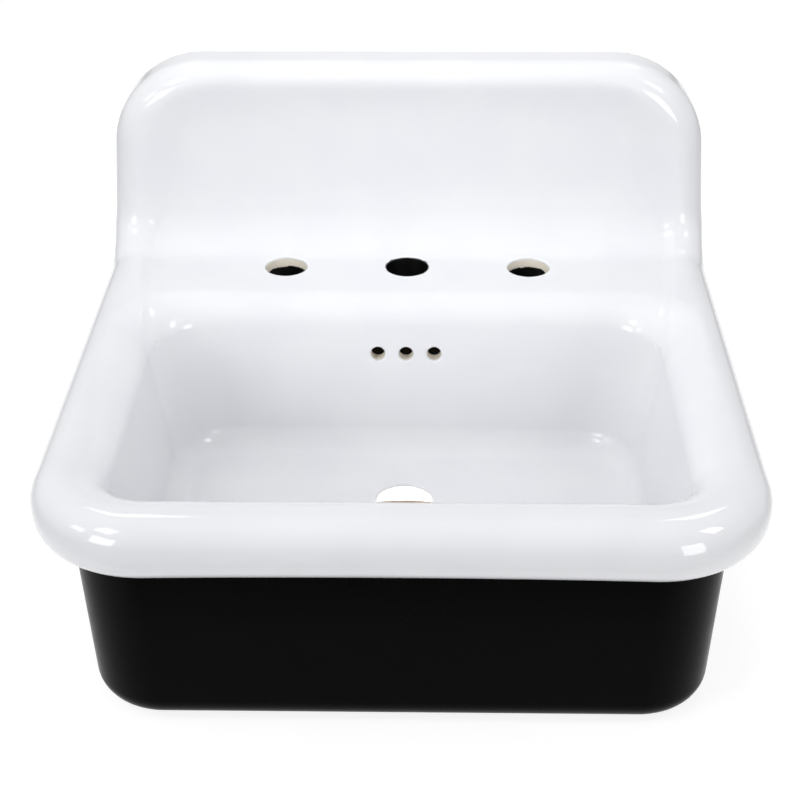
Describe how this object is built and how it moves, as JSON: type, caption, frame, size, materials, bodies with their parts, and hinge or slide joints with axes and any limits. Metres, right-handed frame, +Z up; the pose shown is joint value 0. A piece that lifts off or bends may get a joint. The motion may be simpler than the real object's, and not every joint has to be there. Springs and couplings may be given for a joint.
{
  "type": "wall-mounted sink",
  "caption": "High-back fireclay sink with a rolled rim, tap deck, basin with overflow and a dark apron, hung on a steel wall hanger from which it lifts off.",
  "frame": {"origin": "on the wall, in the middle of the hanger rail's back face, level with the top of the rim", "axes": "+X to the right as seen from the front, +Y into the wall, +Z up"},
  "size_m": [0.508, 0.486, 0.341],
  "materials": {
    "white_glaze": "gloss white glaze on fireclay",
    "black_coat": "satin black coating on fireclay",
    "bare_fireclay": "unglazed cream fireclay",
    "hanger_steel": "zinc-plated steel",
    "screw_steel": "zinc-plated steel",
    "liner_rubber": "matt black rubber",
    "bush_nylon": "moulded natural nylon"
  },
  "bodies": {
    "wall_hanger": {"hanger_rail": "hanger_steel", "hook_left": "hanger_steel", "hook_right": "hanger_steel", "hook_liner_left": "liner_rubber", "hook_liner_right": "liner_rubber", "hook_screws": "screw_steel", "hook_lock_washers": "screw_steel"},
    "sink": {"rim": "white_glaze", "tap_deck": "white_glaze", "tub": "white_glaze", "basin_floor": "white_glaze", "drain_boss": "white_glaze", "splashback": "white_glaze", "apron": "black_coat", "apron_base": "black_coat", "overflow_duct": "bare_fireclay", "overflow_tray": "bare_fireclay", "steady_bush_left": "bush_nylon", "steady_bush_right": "bush_nylon"}
  },
  "joints": [
    {"name": "lift_off", "type": "slide", "parent": "wall_hanger", "child": "sink", "axis": [0, 0, 1], "range_m": [0, 0.02]}
  ]
}
